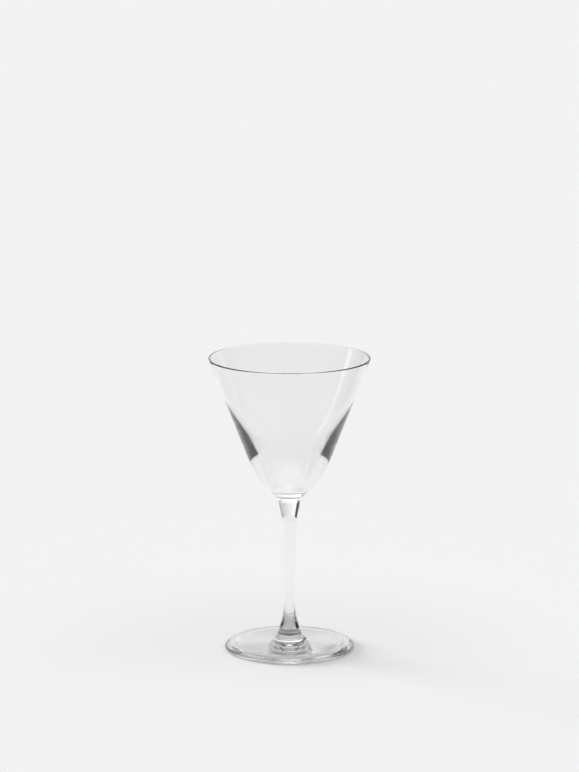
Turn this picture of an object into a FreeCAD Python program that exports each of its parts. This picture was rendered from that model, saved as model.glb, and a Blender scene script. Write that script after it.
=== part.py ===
"""Stemmed cocktail glass with a straight-sided V bowl, as its three gathers of glass.

The bowl is blown: a thin straight cone that thickens into a heavy rounded base round the cavity.
The stem is drawn: flared where it meets the bowl, slender at the waist, flared again at the foot.
The foot is pressed: a round plate with a soft thick edge, a filleted boss and a recessed underside.
The pieces are butt-welded hot, so the stem shares one flat round face with the bowl and one with the foot.

Units are millimetres. +Z is up, the axis of the glass is Z, and the origin is the middle of the base.
A profile is drawn in the (radius, height) half plane as straight runs with a rounded corner between
each two, and is then revolved.
"""

import FreeCAD
import Part

import math
import os

# Foot
foot_radius = 39.3            # to the outermost point of the edge
foot_edge_height = 2.5        # upright part of the edge, between its two rounded corners
foot_edge_rounding = 1.5
foot_shoulder_width = 3.2     # sloping band from the edge up to the top face
foot_shoulder_rise = 1.6
foot_shoulder_rounding = 3.0
foot_top_slope = 3.0          # degrees, how much the top face rises towards the stem
foot_boss_rounding = 5.0      # concave sweep from the top face up to the boss
foot_boss_angle = 30.0        # degrees from the axis, the side of the boss at the weld
foot_boss_height = 9.2        # where the stem is welded on
foot_recess_radius = 33.0     # the underside stands clear of the table inside this
foot_recess_depth = 1.2
foot_recess_step = 1.5        # width of the slope from the standing ring into the recess
foot_recess_rounding = 2.0

# Stem, with heights above its weld to the foot
stem_length = 80.8            # between its two welds
stem_foot_radius = 7.2        # at the weld to the foot
stem_foot_flare_height = 13.1  # where the flare at the foot has run out
stem_foot_rounding = 45.0
stem_waist_radius = 3.2       # the slimmest stretch
stem_taper_height = 37.0      # where the stem starts to widen upwards
stem_taper_rounding = 800.0
stem_neck_radius = 4.4        # where the long taper meets the top flare
stem_neck_drop = 9.3          # the top flare's height, up to the weld to the bowl
stem_neck_rounding = 27.0
stem_top_radius = 6.37        # at the weld to the bowl

# Bowl, with heights above its weld to the stem
bowl_height = 90.0            # to the top of the rim
rim_radius = 48.7             # to the outermost point of the lip
wall_thickness = 1.15         # at the rim, square to the wall
bowl_neck_height = 3.45       # where the stem's flare turns out into the base
bowl_neck_rounding = 9.5
bowl_base_radius = 14.3       # outside corner of the heavy base
bowl_base_height = 10.7
bowl_base_rounding = 42.0
bowl_shoulder_radius = 22.74  # outside corner where the base runs into the straight wall
bowl_shoulder_height = 22.25
bowl_shoulder_rounding = 83.0
cavity_floor_radius = 8.6     # where the cavity's lower wall would meet its floor
cavity_floor_height = 9.3     # thickness of glass under the cavity, down to the weld
cavity_floor_rounding = 1.2
cavity_shoulder_height = 55.0  # where the cavity's wall starts to draw in from the outer wall
cavity_shoulder_rounding = 150.0

# Places along the axis
stem_bottom = foot_boss_height
stem_top = stem_bottom + stem_length
rim_height = stem_top + bowl_height


def slope(degrees):
    """Radius gained for each millimetre of height on a wall at this angle from the axis."""
    return math.tan(math.radians(degrees))


def crossing(point_a, slope_a, point_b, slope_b):
    """Where two straight walls meet, each given by a point on it and its slope."""
    height = (point_b[0] - point_a[0] + slope_a * point_a[1] - slope_b * point_b[1]) / (slope_a - slope_b)
    return (point_a[0] + slope_a * (height - point_a[1]), height)


def vector(point):
    """A (radius, height) point as a point of the XZ plane."""
    return FreeCAD.Vector(point[0], 0, point[1])


def rounded_run(corners):
    """Edges along corners (radius, height, rounding), with a tangent arc at each rounded corner."""
    edges = []
    here = vector(corners[0])
    for before, corner, after in zip(corners, corners[1:], corners[2:]):
        tip, rounding = vector(corner), corner[2]
        back = (vector(before) - tip).normalize()
        on = (vector(after) - tip).normalize()
        half = back.getAngle(on) / 2
        if rounding:
            reach = rounding / math.tan(half)
            middle = (back + on).normalize()
            start, end = tip + back * reach, tip + on * reach
            crown = tip + middle * (rounding / math.sin(half) - rounding)
            edges += [Part.LineSegment(here, start).toShape(), Part.Arc(start, crown, end).toShape()]
            here = end
        else:
            edges.append(Part.LineSegment(here, tip).toShape())
            here = tip
    edges.append(Part.LineSegment(here, vector(corners[-1])).toShape())
    return edges


def turned(edges):
    """The solid that the closed outline makes when it is revolved about the glass's axis."""
    face = Part.Face(Part.Wire(edges))
    return face.revolve(FreeCAD.Vector(0, 0, 0), FreeCAD.Vector(0, 0, 1), 360)


def foot():
    """Round plate: standing ring, soft edge, rising top face and a boss swept up to the stem weld."""
    edge_top = foot_edge_height
    shoulder = (foot_radius - foot_shoulder_width, edge_top + foot_shoulder_rise)
    top_face, boss_side = -1 / slope(foot_top_slope), -slope(foot_boss_angle)
    boss = crossing(shoulder, top_face, (stem_foot_radius, foot_boss_height), boss_side)
    return turned(rounded_run([
        (0, foot_recess_depth, 0),
        (foot_recess_radius - foot_recess_step, foot_recess_depth, foot_recess_rounding),
        (foot_recess_radius, 0, foot_recess_rounding),
        (foot_radius, 0, foot_edge_rounding),
        (foot_radius, edge_top, foot_edge_rounding),
        (*shoulder, foot_shoulder_rounding),
        (*boss, foot_boss_rounding),
        (stem_foot_radius, foot_boss_height, 0),
        (0, foot_boss_height, 0),
        (0, foot_recess_depth, 0),
    ]))


def stem():
    """Slender drawn rod, flared at both ends to the two weld faces."""
    return turned(rounded_run([
        (0, stem_bottom, 0),
        (stem_foot_radius, stem_bottom, 0),
        (stem_waist_radius, stem_bottom + stem_foot_flare_height, stem_foot_rounding),
        (stem_waist_radius, stem_bottom + stem_taper_height, stem_taper_rounding),
        (stem_neck_radius, stem_top - stem_neck_drop, stem_neck_rounding),
        (stem_top_radius, stem_top, 0),
        (0, stem_top, 0),
        (0, stem_bottom, 0),
    ]))


def bowl():
    """Straight V bowl with a round lip, a heavy rounded base and a cavity with a small flat floor."""
    stem_flare = (stem_top_radius - stem_neck_radius) / stem_neck_drop
    neck = (stem_top_radius + bowl_neck_height * stem_flare, stem_top + bowl_neck_height)
    base = (bowl_base_radius, stem_top + bowl_base_height)
    shoulder = (bowl_shoulder_radius, stem_top + bowl_shoulder_height)

    # The straight wall: outside, it runs from the shoulder to touch the round lip
    lip = wall_thickness / 2
    lip_middle = FreeCAD.Vector(rim_radius - lip, 0, rim_height - lip)
    reach = lip_middle - vector(shoulder)
    tilt = math.atan2(reach.x, reach.z) + math.asin(lip / reach.Length)
    outwards = FreeCAD.Vector(math.cos(tilt), 0, -math.sin(tilt)) * lip
    upwards = FreeCAD.Vector(math.sin(tilt), 0, math.cos(tilt)) * lip
    lip_out, lip_in = lip_middle + outwards, lip_middle - outwards

    # Inside, it keeps its thickness down to the cavity's shoulder
    cavity_shoulder = stem_top + cavity_shoulder_height
    cavity_shoulder_radius = lip_in.x - (lip_in.z - cavity_shoulder) * math.tan(tilt)
    cavity_floor = stem_top + cavity_floor_height
    return turned([
        *rounded_run([
            (lip_in.x, lip_in.z, 0),
            (cavity_shoulder_radius, cavity_shoulder, cavity_shoulder_rounding),
            (cavity_floor_radius, cavity_floor, cavity_floor_rounding),
            (0, cavity_floor, 0),
            (0, stem_top, 0),
            (stem_top_radius, stem_top, 0),
            (*neck, bowl_neck_rounding),
            (*base, bowl_base_rounding),
            (*shoulder, bowl_shoulder_rounding),
            (lip_out.x, lip_out.z, 0),
        ]),
        Part.Arc(lip_out, lip_middle + upwards, lip_in).toShape(),
    ])


os.makedirs("parts", exist_ok=True)
for name, make in {"foot": foot, "stem": stem, "bowl": bowl}.items():
    piece = make()
    piece.exportStep(f"parts/{name}.step")
    print(name, "valid", piece.isValid(), "closed", piece.isClosed(), "volume", round(piece.Volume, 1))
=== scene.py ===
"""Looks of a clear stemmed cocktail glass: blown bowl, drawn stem and pressed foot, welded into one glass.

Each piece is turned from its half outline: straight runs with rounded corners, revolved about Z.
The sizes of the foot, stem and bowl are in millimetres and degrees. Other lengths are in metres,
except where a name ends in _MM or _mm or a comment says so.
"""

import math

import bpy
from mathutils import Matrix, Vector


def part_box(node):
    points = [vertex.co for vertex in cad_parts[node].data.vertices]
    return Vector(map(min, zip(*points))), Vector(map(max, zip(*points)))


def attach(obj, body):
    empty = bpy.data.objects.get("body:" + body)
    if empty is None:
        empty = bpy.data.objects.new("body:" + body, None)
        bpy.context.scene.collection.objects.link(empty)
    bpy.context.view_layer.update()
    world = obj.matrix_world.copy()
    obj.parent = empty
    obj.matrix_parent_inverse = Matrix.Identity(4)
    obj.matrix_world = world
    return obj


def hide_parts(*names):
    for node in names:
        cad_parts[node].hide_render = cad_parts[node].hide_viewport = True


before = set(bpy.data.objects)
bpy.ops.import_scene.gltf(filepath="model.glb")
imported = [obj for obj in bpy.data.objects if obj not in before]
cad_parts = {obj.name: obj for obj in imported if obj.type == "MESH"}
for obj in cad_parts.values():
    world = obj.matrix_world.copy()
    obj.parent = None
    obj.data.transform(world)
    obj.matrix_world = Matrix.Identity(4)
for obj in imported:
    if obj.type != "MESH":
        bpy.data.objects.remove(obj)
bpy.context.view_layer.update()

# Foot, in millimetres and degrees
FOOT_RADIUS = 39.3
FOOT_EDGE_HEIGHT = 2.5
FOOT_EDGE_ROUNDING = 1.5
FOOT_SHOULDER_WIDTH = 3.2
FOOT_SHOULDER_RISE = 1.6
FOOT_SHOULDER_ROUNDING = 3.0
FOOT_TOP_SLOPE = 3.0
FOOT_BOSS_ANGLE = 30.0
FOOT_BOSS_ROUNDING = 5.0
FOOT_RECESS_RADIUS = 33.0
FOOT_RECESS_DEPTH = 1.2
FOOT_RECESS_STEP = 1.5
FOOT_RECESS_ROUNDING = 2.0

# Stem, with heights above its weld to the foot, and the neck's drop below its weld to the bowl
STEM_FOOT_RADIUS = 7.2
STEM_FOOT_FLARE_HEIGHT = 13.1
STEM_FOOT_ROUNDING = 45.0
STEM_WAIST_RADIUS = 3.2
STEM_TAPER_HEIGHT = 37.0
STEM_TAPER_ROUNDING = 800.0
STEM_NECK_RADIUS = 4.4
STEM_NECK_DROP = 9.3
STEM_NECK_ROUNDING = 27.0
STEM_TOP_RADIUS = 6.37

# Bowl, with heights above its weld to the stem
RIM_RADIUS = 48.7
WALL_THICKNESS = 1.15
BOWL_NECK_HEIGHT = 3.45
BOWL_NECK_ROUNDING = 9.5
BOWL_BASE_RADIUS = 14.3
BOWL_BASE_HEIGHT = 10.7
BOWL_BASE_ROUNDING = 42.0
BOWL_SHOULDER_RADIUS = 22.74
BOWL_SHOULDER_HEIGHT = 22.25
BOWL_SHOULDER_ROUNDING = 83.0
CAVITY_FLOOR_RADIUS = 8.6
CAVITY_FLOOR_HEIGHT = 9.3
CAVITY_FLOOR_ROUNDING = 1.2
CAVITY_SHOULDER_HEIGHT = 55.0
CAVITY_SHOULDER_ROUNDING = 150.0

MM_PER_METRE = 1000

# How finely the pieces are turned
STEPS_ROUND = 320
STEPS_PER_ROUNDING = 24
LONGEST_RUN = 0.003            # a longer straight run of the outline is cut up
CREASE_ANGLE = math.radians(30)
MERGE_TOLERANCE = 0.000001     # closes the seam and the points on the axis
WELD_TOLERANCE = 0.00001       # how near its height a face has to be to count as a weld
WELD_GAP_MM = 0.004            # keeps a weld's faces apart, so that light leaves one piece before the next
LIP_FIT = 0.999                # so that the lip's two quarter rounds just fail to touch

WHITE = "#ffffff"

# The glass
GLASS_COLOUR = WHITE           # the surface doesn't colour the light
GLASS_IOR = 1.52
ABSORPTION_COLOUR = "#000000"  # takes every colour alike, because the batch is decolourised
ABSORPTION = 5                 # per metre

# The glass of each piece: its name, the length and height of its waves in millimetres, and how many times
# longer they are along Z
PIECE_GLASS = {
    # Pressed in a mould, then passed through a flame: a bright skin with short, shallow ripples
    "foot": ("pressed and fire-polished soda-lime glass", 7.0, 0.004, 1.0),
    # Pulled out while hot: streaks run along it, so shallow that they only unsettle the reflections
    "stem": ("drawn soda-lime glass", 1.6, 0.0008, 25.0),
    # Blown in a mould: broad, shallow waves that make what is seen through the wall waver a little
    "bowl": ("mould-blown soda-lime glass", 16.0, 0.006, 1.5),
}
WAVE_DETAIL = 1.0              # a second, finer set of waves over the first
WAVE_DETAIL_STRENGTH = 0.4     # their height beside the first

# Studio: a matt table, faintly lit from below, in a dim room with panels of soft light round the glass
TABLE_COLOUR = "#c8c8c8"
TABLE_GLOW = 0.2
TABLE_REACH = 8                # from the glass to the table's edges
TABLE_GAP = 0.00002            # keeps the table clear of the foot's standing ring
ROOM = 0.02                    # how bright the room is behind the panels
OVERHEAD = 2.05                # how bright the softboxes above the glass are

# Each panel: the directions of its left and right edges, in degrees from +Y towards +X, and of its lower and
# upper edges, in degrees above the horizon, its brightness at the left and at the right, and how many degrees
# either side of an edge it takes to fade
PANELS = {
    "sweep": (-31, 62, -40, 14, 1.06, 0.50, 2),
    "upper sweep": (-34, 46, 8, 36, 1.40, 0.90, 6),
    "overhead scrim": (-60, 60, 30, 72, 0.45, 0.45, 5),
    "strip softbox": (-80, -71, 14, 42, 1.5, 1.2, 2),
    "fill card": (62, 160, 38, 54, 0.9, 0.5, 7),
    "overhead softbox": (-180, 180, 70, 100, OVERHEAD, OVERHEAD, 4),
    "left overhead softbox": (-180, -60, 50, 74, OVERHEAD, OVERHEAD, 4),
    "right overhead softbox": (60, 180, 50, 74, OVERHEAD, OVERHEAD, 4),
}

# A broad low light beyond the glass on the left, which lays the glass's soft shadow on the table
LOW_LIGHT_HEADING = -55        # degrees from +Y towards +X
LOW_LIGHT_RISE = 12            # degrees above the horizon
LOW_LIGHT_SPREAD = 28          # degrees across
LOW_LIGHT_STRENGTH = 5.2

# Camera in front of the glass, on the -Y side
SENSOR_MM = 36
LENS_MM = 175.6
CAMERA_PITCH = math.radians(11.62)
CAMERA_DISTANCE = 2.261        # from the point on the axis of the glass that it looks at
CAMERA_AIM_HEIGHT = 0.1625
BOUNCES = 64                   # enough for light to find its way out of the thick base
SEE_THROUGH_BOUNCES = 32       # how many weld faces light can go straight through


def box_mm(node):
    """Lowest and highest height of a CAD node, in millimetres."""
    low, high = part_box(node)
    return low.z * MM_PER_METRE, high.z * MM_PER_METRE


def put_in_scene(name, data):
    """A new object at the origin, in the scene."""
    thing = bpy.data.objects.new(name, data)
    bpy.context.scene.collection.objects.link(thing)
    return thing


def bare_tree(owner):
    """The emptied node tree of a material or a world."""
    owner.use_nodes = True
    owner.node_tree.nodes.clear()
    return owner.node_tree


def add(tree, kind, inputs=None, **settings):
    """Adds a node with its settings; inputs maps a socket to a value, or to the socket it is linked from."""
    node = tree.nodes.new(kind)
    for name, value in settings.items():
        setattr(node, name, value)
    for socket, value in (inputs or {}).items():
        if isinstance(value, bpy.types.NodeSocket):
            tree.links.new(value, node.inputs[socket])
        else:
            node.inputs[socket].default_value = value
    return node


def linear(hex_colour):
    """The linear RGBA of an sRGB hex colour."""
    channels = [int(hex_colour[i:i + 2], 16) / 255 for i in (1, 3, 5)]
    return tuple(c / 12.92 if c <= 0.04045 else ((c + 0.055) / 1.055) ** 2.4 for c in channels) + (1.0,)


# ---- Outlines ----

def slope(degrees):
    """Radius gained for each millimetre of height on a wall at this angle from the axis."""
    return math.tan(math.radians(degrees))


def crossing(point_a, slope_a, point_b, slope_b):
    """Where two straight walls meet, each given by a point on it and its slope."""
    height = (point_b[0] - point_a[0] + slope_a * point_a[1] - slope_b * point_b[1]) / (slope_a - slope_b)
    return (point_a[0] + slope_a * (height - point_a[1]), height)


def foot_outline(bottom, top):
    """Corners (radius, height, rounding) of the foot, from the axis under it to the axis at its weld."""
    shoulder = (FOOT_RADIUS - FOOT_SHOULDER_WIDTH, FOOT_EDGE_HEIGHT + FOOT_SHOULDER_RISE)
    top_face, boss_side = -1 / slope(FOOT_TOP_SLOPE), -slope(FOOT_BOSS_ANGLE)
    boss = crossing(shoulder, top_face, (STEM_FOOT_RADIUS, top), boss_side)
    return [
        (0, bottom + FOOT_RECESS_DEPTH, 0),
        (FOOT_RECESS_RADIUS - FOOT_RECESS_STEP, bottom + FOOT_RECESS_DEPTH, FOOT_RECESS_ROUNDING),
        (FOOT_RECESS_RADIUS, bottom, FOOT_RECESS_ROUNDING),
        (FOOT_RADIUS, bottom, FOOT_EDGE_ROUNDING),
        (FOOT_RADIUS, bottom + FOOT_EDGE_HEIGHT, FOOT_EDGE_ROUNDING),
        (*shoulder, FOOT_SHOULDER_ROUNDING),
        (*boss, FOOT_BOSS_ROUNDING),
        (STEM_FOOT_RADIUS, top, 0),
        (0, top, 0),
    ]


def stem_outline(bottom, top):
    """Corners (radius, height, rounding) of the stem, between its two welds."""
    bottom, top = bottom + WELD_GAP_MM, top - WELD_GAP_MM
    return [
        (0, bottom, 0),
        (STEM_FOOT_RADIUS, bottom, 0),
        (STEM_WAIST_RADIUS, bottom + STEM_FOOT_FLARE_HEIGHT, STEM_FOOT_ROUNDING),
        (STEM_WAIST_RADIUS, bottom + STEM_TAPER_HEIGHT, STEM_TAPER_ROUNDING),
        (STEM_NECK_RADIUS, top - STEM_NECK_DROP, STEM_NECK_ROUNDING),
        (STEM_TOP_RADIUS, top, 0),
        (0, top, 0),
    ]


def bowl_outline(bottom, top):
    """Corners (radius, height, rounding) of the bowl, from its weld, out to the lip and down the cavity."""
    flare = (STEM_TOP_RADIUS - STEM_NECK_RADIUS) / STEM_NECK_DROP
    shoulder = (BOWL_SHOULDER_RADIUS, bottom + BOWL_SHOULDER_HEIGHT)
    lip = WALL_THICKNESS / 2
    lip_middle = (RIM_RADIUS - lip, top - lip)
    out, up = lip_middle[0] - shoulder[0], lip_middle[1] - shoulder[1]
    tilt = math.atan2(out, up) + math.asin(lip / math.hypot(out, up))
    across = (lip * math.cos(tilt), -lip * math.sin(tilt))
    along = (lip * math.sin(tilt), lip * math.cos(tilt))
    inner = (lip_middle[0] - across[0], lip_middle[1] - across[1])
    cavity_shoulder_height = bottom + CAVITY_SHOULDER_HEIGHT
    cavity_shoulder_radius = inner[0] - (inner[1] - cavity_shoulder_height) * math.tan(tilt)
    return [
        (0, bottom, 0),
        (STEM_TOP_RADIUS, bottom, 0),
        (STEM_TOP_RADIUS + BOWL_NECK_HEIGHT * flare, bottom + BOWL_NECK_HEIGHT, BOWL_NECK_ROUNDING),
        (BOWL_BASE_RADIUS, bottom + BOWL_BASE_HEIGHT, BOWL_BASE_ROUNDING),
        (*shoulder, BOWL_SHOULDER_ROUNDING),
        (lip_middle[0] + across[0] + along[0], lip_middle[1] + across[1] + along[1], lip * LIP_FIT),
        (lip_middle[0] - across[0] + along[0], lip_middle[1] - across[1] + along[1], lip * LIP_FIT),
        (cavity_shoulder_radius, cavity_shoulder_height, CAVITY_SHOULDER_ROUNDING),
        (CAVITY_FLOOR_RADIUS, bottom + CAVITY_FLOOR_HEIGHT, CAVITY_FLOOR_ROUNDING),
        (0, bottom + CAVITY_FLOOR_HEIGHT, 0),
    ]


# ---- Turning ----

def turning_tree():
    """Geometry nodes that round an outline's corners and revolve it about Z into a closed glass piece."""
    tree = bpy.data.node_groups.new("turned glass", "GeometryNodeTree")
    sockets = [
        ("Outline", "INPUT", "NodeSocketGeometry"),
        ("Steps round", "INPUT", "NodeSocketInt"),
        ("Steps per rounding", "INPUT", "NodeSocketInt"),
        ("Longest run", "INPUT", "NodeSocketFloat"),
        ("Crease angle", "INPUT", "NodeSocketFloat"),
        ("Lower weld", "INPUT", "NodeSocketFloat"),
        ("Upper weld", "INPUT", "NodeSocketFloat"),
        ("Glass", "INPUT", "NodeSocketMaterial"),
        ("Weld", "INPUT", "NodeSocketMaterial"),
        ("Piece", "OUTPUT", "NodeSocketGeometry"),
    ]
    for name, in_out, kind in sockets:
        tree.interface.new_socket(name, in_out=in_out, socket_type=kind)
    given = add(tree, "NodeGroupInput").outputs

    # The outline: rounded at its corners, then cut so that no straight run is long
    line = add(tree, "GeometryNodeMeshToCurve", {"Mesh": given["Outline"]})
    rounding = add(tree, "GeometryNodeInputNamedAttribute", {"Name": "rounding"}, data_type="FLOAT")
    rounded = add(tree, "GeometryNodeFilletCurve", {
        "Curve": line.outputs["Curve"],
        "Count": given["Steps per rounding"],
        "Radius": rounding.outputs["Attribute"],
    }, mode="POLY")
    index = add(tree, "GeometryNodeInputIndex").outputs["Index"]
    place = add(tree, "GeometryNodeInputPosition").outputs["Position"]
    following = add(tree, "ShaderNodeMath", {0: index, 1: 1}, operation="ADD").outputs[0]
    next_place = add(tree, "GeometryNodeFieldAtIndex", {"Index": following, "Value": place},
                     data_type="FLOAT_VECTOR", domain="POINT").outputs["Value"]
    run = add(tree, "ShaderNodeVectorMath", {0: place, 1: next_place}, operation="DISTANCE").outputs["Value"]
    cuts = add(tree, "ShaderNodeMath", {0: run, 1: given["Longest run"]}, operation="DIVIDE").outputs[0]
    outline = add(tree, "GeometryNodeSubdivideCurve", {
        "Curve": rounded.outputs["Curve"],
        "Cuts": add(tree, "ShaderNodeMath", {0: cuts}, operation="FLOOR").outputs[0],
    }).outputs["Curve"]

    # A grid with the outline's points down each column, one column for each step round
    points = add(tree, "GeometryNodeAttributeDomainSize", {"Geometry": outline}, component="CURVE")
    rows = points.outputs["Point Count"]
    columns = add(tree, "ShaderNodeMath", {0: given["Steps round"], 1: 1}, operation="ADD").outputs[0]
    grid = add(tree, "GeometryNodeMeshGrid", {"Vertices X": columns, "Vertices Y": rows})
    column = add(tree, "ShaderNodeMath", {0: index, 1: rows}, operation="DIVIDE").outputs[0]
    column = add(tree, "ShaderNodeMath", {0: column}, operation="FLOOR").outputs[0]
    row = add(tree, "ShaderNodeMath", {0: index, 1: rows}, operation="MODULO").outputs[0]
    on_outline = add(tree, "GeometryNodeSampleIndex", {
        "Geometry": outline, "Value": place, "Index": row,
    }, data_type="FLOAT_VECTOR", domain="POINT").outputs["Value"]
    share = add(tree, "ShaderNodeMath", {0: column, 1: given["Steps round"]}, operation="DIVIDE").outputs[0]
    angle = add(tree, "ShaderNodeMath", {0: share, 1: math.tau}, operation="MULTIPLY").outputs[0]
    turned = add(tree, "ShaderNodeVectorRotate", {
        "Vector": on_outline, "Angle": angle,
    }, rotation_type="Z_AXIS")
    placed = add(tree, "GeometryNodeSetPosition", {
        "Geometry": grid.outputs["Mesh"], "Position": turned.outputs["Vector"],
    })
    closed = add(tree, "GeometryNodeMergeByDistance", {
        "Geometry": placed.outputs["Geometry"], "Distance": MERGE_TOLERANCE,
    }).outputs["Geometry"]

    # Smooth all over, with a crease round each weld face
    smooth = add(tree, "GeometryNodeSetShadeSmooth", {"Geometry": closed}, domain="FACE").outputs["Geometry"]
    edge_angle = add(tree, "GeometryNodeInputMeshEdgeAngle").outputs["Unsigned Angle"]
    crease = add(tree, "FunctionNodeCompare", {"A": edge_angle, "B": given["Crease angle"]},
                 operation="GREATER_THAN").outputs["Result"]
    creased = add(tree, "GeometryNodeSetShadeSmooth", {
        "Geometry": smooth, "Selection": crease, "Shade Smooth": False,
    }, domain="EDGE").outputs["Geometry"]

    # Glass everywhere but on the flat weld faces
    real = add(tree, "GeometryNodeRealizeInstances", {"Geometry": creased}).outputs["Geometry"]
    glass = add(tree, "GeometryNodeSetMaterial", {"Geometry": real, "Material": given["Glass"]})
    height = add(tree, "ShaderNodeSeparateXYZ", {0: place}).outputs["Z"]
    on_weld = [
        add(tree, "FunctionNodeCompare", {"A": height, "B": given[end], "Epsilon": WELD_TOLERANCE},
            operation="EQUAL").outputs["Result"]
        for end in ("Lower weld", "Upper weld")
    ]
    either = add(tree, "FunctionNodeBooleanMath", {0: on_weld[0], 1: on_weld[1]}, operation="OR")
    welded = add(tree, "GeometryNodeSetMaterial", {
        "Geometry": glass.outputs["Geometry"],
        "Selection": either.outputs["Boolean"],
        "Material": given["Weld"],
    })
    add(tree, "NodeGroupOutput", {"Piece": welded.outputs["Geometry"]})
    return tree


def turned_piece(name, corners, tree, settings):
    """A plain closed mesh turned from the corners (radius, height, rounding), given in millimetres."""
    line = bpy.data.meshes.new(name + "_outline")
    places = [(radius / MM_PER_METRE, 0, height / MM_PER_METRE) for radius, height, _ in corners]
    line.from_pydata(places, [(i, i + 1) for i in range(len(places) - 1)], [])
    rounding = line.attributes.new("rounding", "FLOAT", "POINT")
    rounding.data.foreach_set("value", [radius / MM_PER_METRE for _, _, radius in corners])
    piece = put_in_scene(name, line)
    turning = piece.modifiers.new("turning", "NODES")
    turning.node_group = tree
    for item in tree.interface.items_tree:
        if item.name in settings:
            turning[item.identifier] = settings[item.name]
    piece.update_tag()
    evaluated = piece.evaluated_get(bpy.context.evaluated_depsgraph_get())
    mesh = bpy.data.meshes.new_from_object(evaluated)
    mesh.name = name
    mesh.materials.pop(index=0)    # the empty slot that the grid began with
    piece.modifiers.remove(turning)
    piece.data = mesh
    return piece


# ---- Materials ----

def finish_glass(material, tree, surface):
    """Gives the glass its surface, and the little that its depth takes from light on the way through."""
    depth = add(tree, "ShaderNodeVolumeAbsorption", {
        "Color": linear(ABSORPTION_COLOUR), "Density": ABSORPTION,
    })
    add(tree, "ShaderNodeOutputMaterial", {
        "Surface": surface.outputs["BSDF"], "Volume": depth.outputs["Volume"],
    })
    return material


def soda_lime_glass(name, wave_length_mm, wave_height_mm, stretch):
    """Clear soda-lime glass: as smooth as a mirror, with the faint waves that its making left in it."""
    material = bpy.data.materials.new(name)
    tree = bare_tree(material)
    place = add(tree, "ShaderNodeTexCoord").outputs["Object"]
    waves_per_metre = MM_PER_METRE / wave_length_mm
    in_wave_lengths = add(tree, "ShaderNodeVectorMath", {
        0: place, 1: (waves_per_metre, waves_per_metre, waves_per_metre / stretch),
    }, operation="MULTIPLY")
    waves = add(tree, "ShaderNodeTexNoise", {
        "Vector": in_wave_lengths.outputs["Vector"],
        "Scale": 1.0,
        "Detail": WAVE_DETAIL,
        "Roughness": WAVE_DETAIL_STRENGTH,
    })
    wavy = add(tree, "ShaderNodeBump", {
        "Height": waves.outputs["Fac"], "Strength": 1.0, "Distance": wave_height_mm / MM_PER_METRE,
    })
    surface = add(tree, "ShaderNodeBsdfPrincipled", {
        "Base Color": linear(GLASS_COLOUR),
        "Roughness": 0.0,
        "IOR": GLASS_IOR,
        "Transmission Weight": 1.0,
        "Normal": wavy.outputs["Normal"],
    })
    return finish_glass(material, tree, surface)


def fused_weld():
    """Soda-lime glass fused while hot: no surface is left at the weld, so light goes straight through."""
    material = bpy.data.materials.new("fused soda-lime glass")
    tree = bare_tree(material)
    surface = add(tree, "ShaderNodeBsdfTransparent", {"Color": linear(GLASS_COLOUR)})
    return finish_glass(material, tree, surface)


def cast_acrylic():
    """White cast acrylic sheet, faintly lit from below: matt, and even but for soft shadows."""
    material = bpy.data.materials.new("matt cast acrylic")
    tree = bare_tree(material)
    matt = add(tree, "ShaderNodeBsdfDiffuse", {"Color": linear(TABLE_COLOUR)})
    glow = add(tree, "ShaderNodeEmission", {"Color": linear(WHITE), "Strength": TABLE_GLOW})
    both = add(tree, "ShaderNodeAddShader", {0: matt.outputs["BSDF"], 1: glow.outputs["Emission"]})
    add(tree, "ShaderNodeOutputMaterial", {"Surface": both.outputs["Shader"]})
    return material


# ---- Studio light ----

def studio_world():
    """A dim room with panels of soft light round the glass."""
    world = bpy.data.worlds.new("studio")
    bpy.context.scene.world = world
    tree = bare_tree(world)
    towards = add(tree, "ShaderNodeTexCoord").outputs["Generated"]
    parts = add(tree, "ShaderNodeSeparateXYZ", {0: towards}).outputs
    turn = add(tree, "ShaderNodeMath", {0: parts["X"], 1: parts["Y"]}, operation="ARCTAN2").outputs[0]
    turn = add(tree, "ShaderNodeMath", {0: turn}, operation="DEGREES").outputs[0]
    rise = add(tree, "ShaderNodeMath", {0: parts["Z"]}, operation="ARCSINE").outputs[0]
    rise = add(tree, "ShaderNodeMath", {0: rise}, operation="DEGREES").outputs[0]
    light = ROOM
    for name, (left, right, low, high, left_light, right_light, softness) in PANELS.items():
        # Its brightness from left to right, then its four edges. Each step has the direction it goes by,
        # where it begins and ends, and what it gives before and after
        steps = [
            (turn, left, right, left_light, right_light),
            (turn, left - softness, left + softness, 0, 1),
            (rise, low - softness, low + softness, 0, 1),
            (turn, right - softness, right + softness, 1, 0),
            (rise, high - softness, high + softness, 1, 0),
        ]
        panel = 1
        for direction, begin, end, before, after in steps:
            step = add(tree, "ShaderNodeMapRange", {
                "Value": direction, "From Min": begin, "From Max": end, "To Min": before, "To Max": after,
            }, interpolation_type="SMOOTHSTEP").outputs["Result"]
            panel = add(tree, "ShaderNodeMath", {0: panel, 1: step}, operation="MULTIPLY").outputs[0]
        light = add(tree, "ShaderNodeMath", {0: light, 1: panel}, operation="MAXIMUM", label=name).outputs[0]
    air = add(tree, "ShaderNodeBackground", {"Color": linear(WHITE), "Strength": light})
    add(tree, "ShaderNodeOutputWorld", {"Surface": air.outputs["Background"]})


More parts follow.
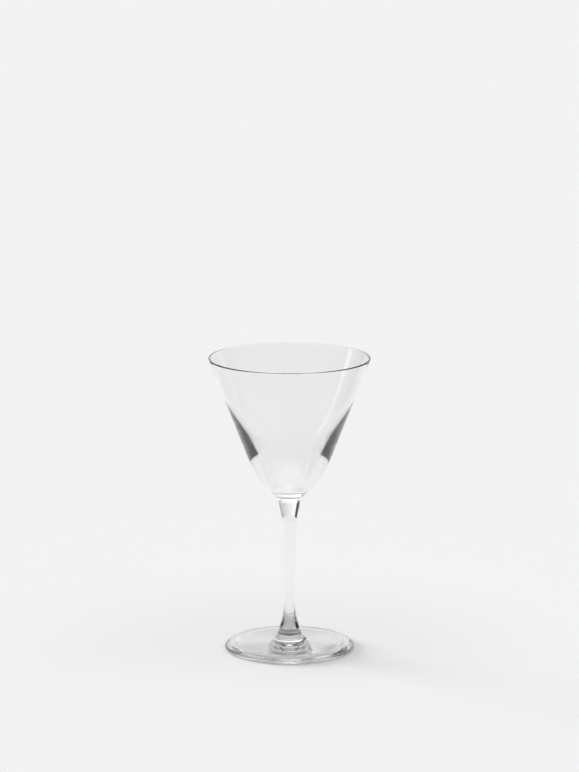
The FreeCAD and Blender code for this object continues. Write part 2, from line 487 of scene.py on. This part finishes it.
def low_light():
    """The broad low light. It isn't mirrored in the glass: the strip softbox stands for its reflection."""
    sun = bpy.data.lights.new("low light", "SUN")
    sun.energy = LOW_LIGHT_STRENGTH
    sun.angle = math.radians(LOW_LIGHT_SPREAD)
    lamp = put_in_scene("low light", sun)
    lamp.rotation_euler = (math.radians(90 - LOW_LIGHT_RISE), 0, math.radians(180 - LOW_LIGHT_HEADING))
    lamp.visible_glossy = False
    lamp.visible_transmission = False


# ---- The glass ----

turning_nodes = turning_tree()
weld = fused_weld()
outlines = {"foot": foot_outline, "stem": stem_outline, "bowl": bowl_outline}
stem_bottom, stem_top = box_mm("stem")
for node, outline in outlines.items():
    bottom, top = box_mm(node)
    piece = turned_piece("glass_" + node, outline(bottom, top), turning_nodes, {
        "Steps round": STEPS_ROUND,
        "Steps per rounding": STEPS_PER_ROUNDING,
        "Longest run": LONGEST_RUN,
        "Crease angle": CREASE_ANGLE,
        "Lower weld": stem_bottom / MM_PER_METRE,
        "Upper weld": stem_top / MM_PER_METRE,
        "Glass": soda_lime_glass(*PIECE_GLASS[node]),
        "Weld": weld,
    })
    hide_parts(node)
    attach(piece, "root")

# ---- Studio ----

table_mesh = bpy.data.meshes.new("table")
table_mesh.from_pydata([
    (-TABLE_REACH, -TABLE_REACH, -TABLE_GAP),
    (TABLE_REACH, -TABLE_REACH, -TABLE_GAP),
    (TABLE_REACH, TABLE_REACH, -TABLE_GAP),
    (-TABLE_REACH, TABLE_REACH, -TABLE_GAP),
], [], [(0, 1, 2, 3)])
table_mesh.materials.append(cast_acrylic())
table = put_in_scene("table", table_mesh)
studio_world()
low_light()

camera = put_in_scene("camera", bpy.data.cameras.new("camera"))
camera.data.sensor_width = SENSOR_MM
camera.data.lens = LENS_MM
aim = Vector((0, 0, CAMERA_AIM_HEIGHT))
camera.location = aim + Vector((0, -math.cos(CAMERA_PITCH), math.sin(CAMERA_PITCH))) * CAMERA_DISTANCE
camera.rotation_euler = (math.pi / 2 - CAMERA_PITCH, 0, 0)

scene = bpy.context.scene
scene.camera = camera
scene.view_settings.view_transform = "Standard"
scene.cycles.max_bounces = BOUNCES
scene.cycles.glossy_bounces = BOUNCES
scene.cycles.transmission_bounces = BOUNCES
scene.cycles.transparent_max_bounces = SEE_THROUGH_BOUNCES
